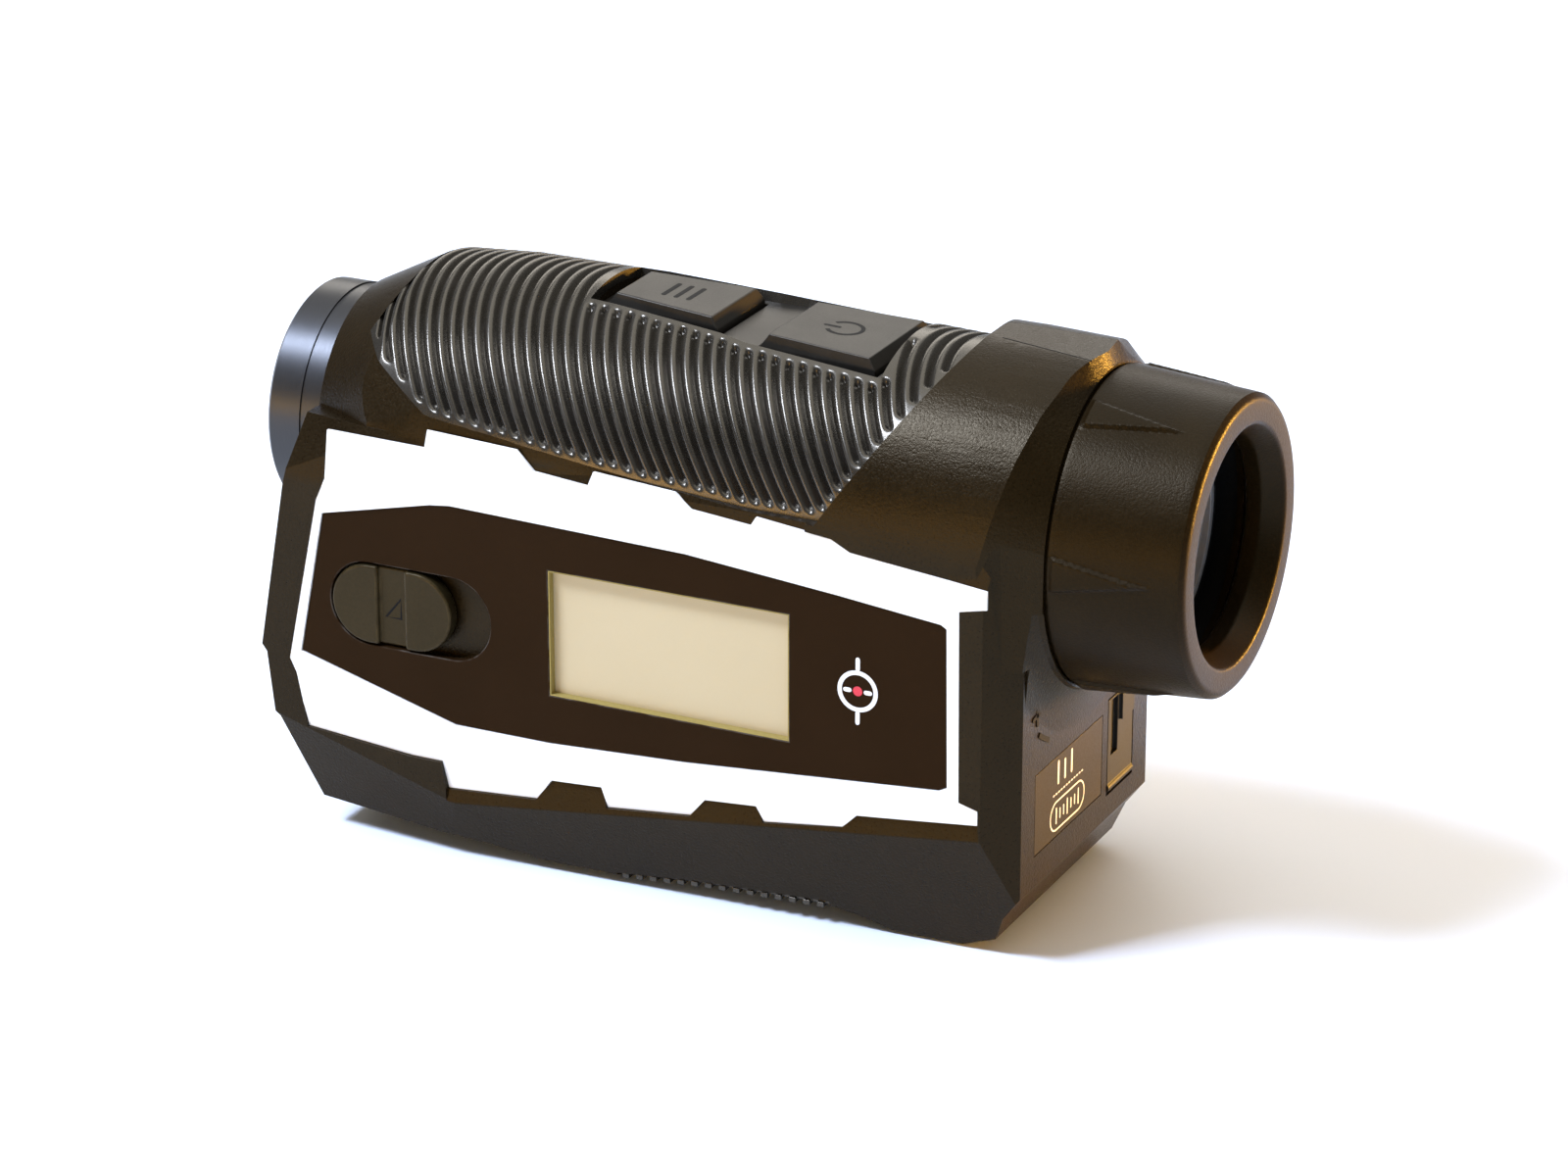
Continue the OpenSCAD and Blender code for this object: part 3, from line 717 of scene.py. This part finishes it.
def ribbed_saddle():
    """The rubber saddle, with leaning grooves that stop inside a smooth border."""
    s_low = RIB_PHASE - RIBS_AHEAD * RIB_PITCH
    s_high = 45.0
    count = int((s_high - s_low) / RIB_PITCH)
    row_deg = 2 * SADDLE_TURN_DEG / (SADDLE_ROWS - 1)
    turns = [math.radians(i * row_deg - SADDLE_TURN_DEG) for i in range(SADDLE_ROWS)]
    runs = {k: groove_runs(s_low + k * RIB_PITCH, turns) for k in range(count + 1)}
    points = []
    steps = count * RIB_COLUMNS + 1
    for i in range(steps):
        s = s_low + i * RIB_PITCH / RIB_COLUMNS
        nearest = round((s - s_low) / RIB_PITCH)
        off = s - (s_low + nearest * RIB_PITCH)
        for turn in turns:
            x, radius = saddle_point(s, turn)
            across = abs(off) * (1 - 0.25 * math.sin(abs(turn)) ** 2 * RIB_LEAN)
            beyond = min(
                (max(low - turn, turn - high, 0.0) * radius for low, high in runs[nearest]), default=9.0
            )
            reach = math.hypot(across, beyond)
            dip = GROOVE_DEPTH * math.exp(-((reach / GROOVE_WIDTH) ** 2))
            dip += RIDGE_CROWN * max(1 - 2 * reach / RIB_PITCH, 0) ** 2
            radius -= dip
            points.append(
                (x * MM, -radius * math.sin(turn) * MM, radius * math.cos(turn) * MM + AXIS_Z)
            )
    faces = []
    for i in range(steps - 1):
        a = i * SADDLE_ROWS
        b = a + SADDLE_ROWS
        faces += [(a + j, a + j + 1, b + j + 1, b + j) for j in range(SADDLE_ROWS - 1)]
    mesh = mesh_from("ribbed_saddle", points, faces)
    bm = bmesh.new()
    bm.from_mesh(mesh)
    for (x0, z0), (x1, z1) in zip(GRIP_OUTLINE, GRIP_OUTLINE[1:]):
        outward = Vector((z1 - z0, 0, -(x1 - x0)))
        cut_by(bm, bm.faces[:], Vector((x0 * MM, 0, z0 * MM + AXIS_Z)), outward, clear=True)
    cut_key_opening(bm)
    thicken_saddle(bm)
    bm.to_mesh(mesh)
    bm.free()
    mesh.shade_smooth()
    mesh.set_sharp_from_angle(angle=math.radians(60))
    body = BODY_OF["grip_saddle"]
    add_piece("grip_saddle_ribbed", mesh, FINISH["grip_rubber"], body, ("grip_saddle",))


def cut_key_opening(bm):
    """Cuts the opening round the keys out of the saddle's skin."""
    def near_keys():
        return [
            f for f in bm.faces
            if abs(f.verts[0].co.x) < 20 * MM and abs(f.verts[0].co.y) < 11 * MM and f.verts[0].co.z > AXIS_Z
        ]
    for x, side in ((KEY_OPENING[0][0], -1), (KEY_OPENING[-1][0], 1)):
        cut_by(bm, near_keys(), Vector((x * MM, 0, AXIS_Z)), Vector((side, 0, 0)))
    for (x0, w0), (x1, w1) in zip(KEY_OPENING, KEY_OPENING[1:]):
        for side in (-1, 1):
            outward = Vector((-(w1 - w0), side * (x1 - x0), 0))
            cut_by(bm, near_keys(), Vector((x0 * MM, side * w0 * MM, AXIS_Z)), outward)
    inside = []
    for face in near_keys():
        c = face.calc_center_median() / MM
        if KEY_OPENING[0][0] < c.x < KEY_OPENING[-1][0]:
            for (x0, w0), (x1, w1) in zip(KEY_OPENING, KEY_OPENING[1:]):
                if x0 <= c.x <= x1 and abs(c.y) < w0 + (w1 - w0) * (c.x - x0) / (x1 - x0):
                    inside.append(face)
                    break
    bmesh.ops.delete(bm, geom=inside, context="FACES")


def thicken_saddle(bm):
    """Gives the skin an inner face and closes its borders."""
    bmesh.ops.recalc_face_normals(bm, faces=bm.faces)
    outer = bm.faces[:]
    rims = [e for e in bm.edges if len(e.link_faces) == 1]
    lined = {}
    for vert in bm.verts[:]:
        x, y, z = vert.co
        radius = math.hypot(y, z - AXIS_Z)
        keep = (saddle_radius(x / MM) - SADDLE_SKIN) * MM / radius
        lined[vert] = bm.verts.new((x, y * keep, (z - AXIS_Z) * keep + AXIS_Z))
    for face in outer:
        bm.faces.new([lined[v] for v in reversed(face.verts)])
    for edge in rims:
        face = edge.link_faces[0]
        loop = next(side for side in face.loops if side.edge == edge)
        a, b = loop.vert, loop.link_loop_next.vert
        bm.faces.new((b, a, lined[a], lined[b]))
    bmesh.ops.recalc_face_normals(bm, faces=bm.faces)


# ---------------------------------------------------------------- marks and small fittings

def strip(points, width, closed=False):
    """A flat outline of the given width round a path of (u, v) points in mm: left and right edges."""
    left, right = [], []
    count = len(points)
    for i, p in enumerate(points):
        before = points[i - 1] if closed or i else points[i]
        after = points[(i + 1) % count] if closed or i < count - 1 else points[i]
        along = Vector((after[0] - before[0], after[1] - before[1])).normalized()
        side = Vector((-along.y, along.x)) * width / 2
        left.append((p[0] + side.x, p[1] + side.y))
        right.append((p[0] - side.x, p[1] - side.y))
    return left, right


def arc(centre, radius, start, end, steps=24):
    """Points along an arc, angles in degrees anticlockwise."""
    out = []
    for i in range(steps + 1):
        turn = math.radians(start + (end - start) * i / steps)
        out.append((centre[0] + radius * math.cos(turn), centre[1] + radius * math.sin(turn)))
    return out


def rounded_bar(a, b, width, steps=8):
    """The outline of a bar with round ends."""
    lean = math.degrees(math.atan2(b[1] - a[1], b[0] - a[0]))
    return arc(b, width / 2, lean - 90, lean + 90, steps) + arc(a, width / 2, lean + 90, lean + 270, steps)


def rounded_box(low, high, ease, steps):
    """The outline of a box with round corners."""
    u0, v0 = low[0] + ease, low[1] + ease
    u1, v1 = high[0] - ease, high[1] - ease
    outline = []
    for i, corner in enumerate([(u1, v0), (u1, v1), (u0, v1), (u0, v0)]):
        outline += arc(corner, ease, 90 * i - 90, 90 * i, steps)
    return outline


class Sheet:
    """Flat marks drawn in (u, v) mm on a surface, each a thin closed plate."""

    def __init__(self, origin, across, up, thick):
        self.origin = Vector(origin)
        self.across = Vector(across).normalized()
        self.up = Vector(up).normalized()
        self.out = self.across.cross(self.up)
        self.thick = thick
        self.bm = bmesh.new()

    def spot(self, p, lift):
        return self.origin + (self.across * p[0] + self.up * p[1] + self.out * lift) * MM

    def plate(self, outline):
        """A filled convex or gently shaped outline."""
        top = [self.bm.verts.new(self.spot(p, self.thick)) for p in outline]
        low = [self.bm.verts.new(self.spot(p, -0.1)) for p in outline]
        self.bm.faces.new(top)
        self.bm.faces.new(list(reversed(low)))
        count = len(outline)
        for i in range(count):
            k = (i + 1) % count
            self.bm.faces.new((top[i], low[i], low[k], top[k]))

    def line(self, points, width, closed=False):
        """A line of the given width along a path."""
        left, right = strip(points, width, closed)
        rows = [
            [self.bm.verts.new(self.spot(p, lift)) for p in edge]
            for edge, lift in ((left, self.thick), (right, self.thick), (right, -0.1), (left, -0.1))
        ]
        count = len(points)
        last = count if closed else count - 1
        for i in range(last):
            k = (i + 1) % count
            for a, b in zip(rows, rows[1:] + rows[:1]):
                self.bm.faces.new((a[i], b[i], b[k], a[k]))
        if not closed:
            for i in (0, count - 1):
                self.bm.faces.new([row[i] for row in rows])

    def piece(self, name, finish, body, slot):
        bmesh.ops.recalc_face_normals(self.bm, faces=self.bm.faces)
        bmesh.ops.triangulate(self.bm, faces=[f for f in self.bm.faces if len(f.verts) > 4])
        mesh = bpy.data.meshes.new(name)
        self.bm.to_mesh(mesh)
        self.bm.free()
        return add_piece(name, mesh, finish, body)


def key_marks():
    """Engraved marks on the keys, drawn as black plates that paint the shade inside the engraving: three
    bars, and a ring with a bar.
    """
    mode_front = Vector((-16, 0, 18.9))
    mode_rear = Vector((-3.8, 0, 18.3))
    power_front = Vector((3.4, 0, 17.6))
    power_rear = Vector((15.6, 0, 17.0))
    lift = Vector((0, 0, AXIS_Z))
    for name, front, rear, node in (
        ("mode_key_mark", mode_front, mode_rear, "mode_key"),
        ("power_key_mark", power_front, power_rear, "power_key"),
    ):
        middle = (front + rear) / 2 * MM + lift
        sheet = Sheet(middle, (0, 1, 0), front - rear, 0.012)
        if node == "mode_key":
            for v in (-1.5, 0, 1.5):
                sheet.plate(rounded_bar((-1.9, v), (1.9, v), 0.6))
        else:
            sheet.line(arc((0, 0), 1.95, 125, 415, 40), 0.5)
            sheet.plate(rounded_bar((0, 0.7), (0, 2.3), 0.5))
        sheet.piece(name, BLACK_SEAM_AND_ENGRAVING_SHADE, BODY_OF[node], "inner_black")


def slider_mark():
    """A small engraved incline in the cross groove of the slope knob, drawn in black as the painted shade of
    the engraving.
    """
    low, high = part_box("slope_knob")
    groove = Vector(((low.x + high.x) / 2, low.y + 0.6 * MM, (low.z + high.z) / 2))
    sheet = Sheet(groove, (1, 0, 0), (0, 0, 1), 0.015)
    sheet.line([(-0.95, -1.3), (0.95, -1.3), (0.95, 1.0)], 0.32, closed=True)
    sheet.piece("slope_mark", BLACK_SEAM_AND_ENGRAVING_SHADE, BODY_OF["slope_knob"], "inner_black")


def collar_parting():
    """The fine moulding line along the flat top of the collar."""
    start = Vector((28.9 * MM, -2.3 * MM, AXIS_Z + 19.87 * MM))
    end = Vector((39.6 * MM, -3.6 * MM, AXIS_Z + 19.33 * MM))
    sheet = Sheet((start + end) / 2, end - start, (0, 1, 0), 0.02)
    half = (end - start).length / MM / 2
    sheet.line([(-half, 0), (half, 0)], 0.12)
    sheet.piece("collar_parting", BLACK_SEAM_AND_ENGRAVING_SHADE, "casing", "inner_black")


def panel_marks():
    """A generic reticle printed at the rear of the left panel."""
    outer_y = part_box("panel_left")[0].y
    centre = Vector((20.6 * MM, outer_y, AXIS_Z - 15.3 * MM))
    sheet = Sheet(centre, (1, 0, 0), (0, 0, 1), 0.015)
    sheet.line(arc((0, 0), 2.1, 0, 360, 48)[:-1], 0.5, closed=True)
    for turn in range(4):
        ray = Vector((math.cos(turn * math.pi / 2), math.sin(turn * math.pi / 2)))
        reach = 3.6 if turn % 2 else 1.45
        sheet.plate(rounded_bar(ray * (2.5 if turn % 2 else 0.95), ray * reach, 0.5, 4))
    sheet.piece("panel_reticle", INK_WHITE, "casing", "trim_plastic")
    dot = Sheet(centre, (1, 0, 0), (0, 0, 1), 0.015)
    dot.plate(arc((0, 0), 0.55, 0, 345, 23))
    dot.piece("panel_red_dot", INK_RED, "casing", "trim_plastic")


def rear_marks():
    """Printed marks on the rear label, and the moulded mark that shows which way the eyecup turns, drawn in
    black as the painted shade of its grooves.
    """
    low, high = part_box("rear_label")
    centre = Vector((high.x, (low.y + high.y) / 2, (low.z + high.z) / 2))
    sheet = Sheet(centre, (0, 1, 0), (0, 0, 1), 0.015)
    pill = rounded_box((-4.9, -3.9), (4.3, -0.6), 1.6, 8)
    sheet.line(pill, 0.2, closed=True)
    for i in range(7):
        u = -3.3 + i
        tall = 0.85 if i % 3 == 0 else 0.5
        sheet.plate(rounded_bar((u, -2.25 - tall), (u, -2.25 + tall), 0.26, 3))
    for i in range(12):
        u = -4.2 + i * 0.7
        sheet.plate(rounded_bar((u, 0.35), (u + 0.28, 0.35), 0.2, 3))
    for i, wide in enumerate((1.3, 0.9, 1.3)):
        u = -2.9 + i * 1.8
        sheet.plate(rounded_bar((u, 1.5), (u, 1.5 + 1.1 + wide), 0.42, 4))
    sheet.piece("rear_label_marks", INK_WHITE, "casing", "label_film")
    # The engraved plus and arc are black plates that paint the shade inside their grooves.
    face = Vector((high.x + 0.1 * MM, 0, AXIS_Z))
    turn = Sheet(face, (0, 1, 0), (0, 0, 1), 0.03)
    turn.plate(rounded_bar((-14.8, -17.3), (-12.8, -16.9), 0.5, 4))
    turn.plate(rounded_bar((-13.9, -16.0), (-13.7, -18.2), 0.5, 4))
    turn.line(arc((0, 0), 23.6, 236, 243.5, 10), 0.6)
    turn.piece("dioptre_marks", BLACK_SEAM_AND_ENGRAVING_SHADE, "casing", "inner_black")


def display_frame():
    """Deep olive walls round the display window, painted darker as the shade inside the recess, with the
    pale cell behind them.
    """
    u0, u1, v0, v1 = -16.4, 12.5, -22.6, -8.05
    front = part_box("panel_left")[0].y / MM + 0.06
    back = -19.0
    wall = 0.12
    ring_out = [(u0, v0), (u1, v0), (u1, v1), (u0, v1)]
    inward = [(1, 1), (-1, 1), (-1, -1), (1, -1)]
    ring_in = [(u + wall * du, v + wall * dv) for (u, v), (du, dv) in zip(ring_out, inward)]
    points = []
    for ring, y in ((ring_out, front), (ring_in, front), (ring_in, back), (ring_out, back)):
        points += [(u * MM, y * MM, v * MM + AXIS_Z) for u, v in ring]
    faces = []
    for level in range(4):
        a, b = level * 4, (level + 1) % 4 * 4
        faces += [(a + i, a + (i + 1) % 4, b + (i + 1) % 4, b + i) for i in range(4)]
    mesh = mesh_from("display_walls", points, faces)
    tidy_normals(mesh)
    add_piece("display_walls", mesh, REVEAL_SHADE_OLIVE, "casing")
    cell = bmesh.new()
    outline = rounded_box((u0 - 1.2, v0 - 1.0), (u1 + 1.2, v1 + 1.0), 0.6, 4)
    for y in (back, back + 1.0):
        cell.faces.new([cell.verts.new((u * MM, y * MM, v * MM + AXIS_Z)) for u, v in outline])
    rims = [f.verts[:] for f in cell.faces]
    for i in range(len(outline)):
        k = (i + 1) % len(outline)
        cell.faces.new((rims[0][i], rims[0][k], rims[1][k], rims[1][i]))
    bmesh.ops.recalc_face_normals(cell, faces=cell.faces)
    mesh = bpy.data.meshes.new("display_cell")
    cell.to_mesh(mesh)
    cell.free()
    add_piece("display_cell", mesh, FINISH["lcd_glass"], "casing", ("display_module",))


# The long wedges on the eyecup, in mm and degrees
LUG_START_X = 40.95
LUG_LENGTH = 11.5
LUG_SPACING_DEG = 60
LUG_PHASE_DEG = 28.4
LUG_RADIUS = 17.4


def lug_height(x, turn):
    """How far the wedges stand up at a place on the eyecup's side, in mm."""
    share = (x - LUG_START_X) / LUG_LENGTH
    if share < 0 or share > 1:
        return 0.0
    half = LUG_SPACING_DEG / 2
    off_deg = abs((math.degrees(turn) - LUG_PHASE_DEG + half) % LUG_SPACING_DEG - half)
    off = off_deg * math.radians(1) * LUG_RADIUS
    return max(min(0.36 + 0.05 * share, (2.1 * (1 - share) - off) * 1.0, share * 8), 0.0)


def eyecup_form():
    """The moulded eyecup: rounded rim, six long wedges, and a funnel inside."""
    corners = [
        (40.8, 17.0, 0), (40.8, 17.35, 0.08), (54.9, 16.32, 0), (55.5, 15.75, 0.5), (55.5, 13.1, 0.35),
        (53.2, 11.7, 0.3), (51.4, 11.7, 0.25), (50.4, 13.9, 0), (49.6, 13.9, 0), (49.6, 16, 0),
        (38, 16, 0), (38, 17, 0),
    ]
    corners[2:2] = [(41.2 + 0.3 * i, 17.35 - 0.0219 * i, 0) for i in range(45)]
    profile = rounded_profile(corners)
    steps = 600
    count = len(profile)
    points = []
    for i in range(steps):
        turn = 2 * math.pi * i / steps
        for x, r in profile:
            rise = lug_height(x, turn) if r > 16.2 else 0.0
            reach = (r + rise) * MM
            points.append((x * MM, -reach * math.sin(turn), reach * math.cos(turn) + AXIS_Z))
    faces = []
    for i in range(steps):
        a, b = i * count, (i + 1) % steps * count
        faces += [(a + j, a + (j + 1) % count, b + (j + 1) % count, b + j) for j in range(count)]
    mesh = mesh_from("eyecup_form", points, faces)
    tidy_normals(mesh)
    smooth_all(mesh, 28)
    add_piece("eyecup_form", mesh, FINISH["eyecup_rubber"], BODY_OF["eyecup"], ("eyecup",))


def stepped_retainer():
    """The ocular retainer, bored in steps, in a copy of the anodised finish painted much paler to stand in
    for the light the steps catch.
    """
    corners = [(44.2, 10.9, 0), (44.2, 9.95, 0.1)]
    for x, r in ((44.9, 10.25), (45.6, 10.55), (46.2, 10.95), (46.8, 11.4)):
        corners += [(x, corners[-1][1], 0.12), (x, r, 0.05)]
    corners += [(47.6, 11.4, 0.12), (47.6, 12.2, 0), (46.6, 12.2, 0), (46.6, 11.8, 0)]
    mesh = lathe("stepped_retainer", rounded_profile(corners, 4))
    smooth_all(mesh, 40)
    body = BODY_OF["ocular_retainer"]
    add_piece("stepped_retainer", mesh, RING_PAINTED_LIT, body, ("ocular_retainer",))


ribbed_saddle()
eyecup_form()
stepped_retainer()
key_marks()
slider_mark()
collar_parting()
panel_marks()
rear_marks()
display_frame()


# ---------------------------------------------------------------- stage and light

def white_stage():
    """A pale floor just under the casing."""
    half = 3.0
    mesh = mesh_from(
        "floor", [(-half, -half, 0), (half, -half, 0), (half, half, 0), (-half, half, 0)], [(0, 1, 2, 3)]
    )
    floor = bpy.data.objects.new("floor", mesh)
    bpy.context.scene.collection.objects.link(floor)
    paint = Paint("floor")
    mesh.materials.append(paint.finish(Base_Color=(0.86, 0.9, 0.94), Roughness=0.9, Specular_IOR_Level=0.1))
    floor.location.z = -0.0002


def softbox(name, spot, aim, size, power, colour, spread=180):
    """A rectangular lamp that the camera doesn't see."""
    data = bpy.data.lights.new(name, "AREA")
    data.shape = "RECTANGLE"
    data.size, data.size_y = size
    data.energy = power
    data.color = colour
    data.spread = math.radians(spread)
    lamp = bpy.data.objects.new(name, data)
    bpy.context.scene.collection.objects.link(lamp)
    lamp.location = spot
    lamp.rotation_euler = (Vector(aim) - Vector(spot)).to_track_quat("-Z", "Y").to_euler()
    lamp.visible_camera = False


def light_studio():
    """A key softbox up to the front left, a broad sky, a back light and two low warm fills."""
    world = bpy.data.worlds.new("studio")
    world.use_nodes = True
    world.node_tree.nodes["Background"].inputs[0].default_value = (1, 0.99, 0.97, 1)
    world.node_tree.nodes["Background"].inputs[1].default_value = 0.26
    bpy.context.scene.world = world
    softbox("key", (-0.45, -0.44, 0.93), (0, 0, 0.045), (0.34, 0.26), 17, (0.8, 0.93, 1.25))
    softbox("sky", (0.1, 0.3, 1.3), (0, 0, 0.04), (1.8, 1.4), 13, (0.98, 0.99, 1.0))
    softbox("back", (-0.42, 0.9, 0.5), (0, 0, 0.05), (1.0, 0.35), 3, (1, 0.95, 0.88))
    softbox("rear_warm", (0.62, 0.5, 0.03), (0.04, 0, 0.035), (0.3, 0.05), 1.2, (1, 0.52, 0.08), 40)
    softbox("low_warm", (-0.25, -0.8, 0.08), (0, 0, 0.03), (0.8, 0.12), 0.35, (1, 0.6, 0.16), 70)


white_stage()
light_studio()
paint_cad_nodes()
bpy.context.scene.view_settings.view_transform = "Standard"
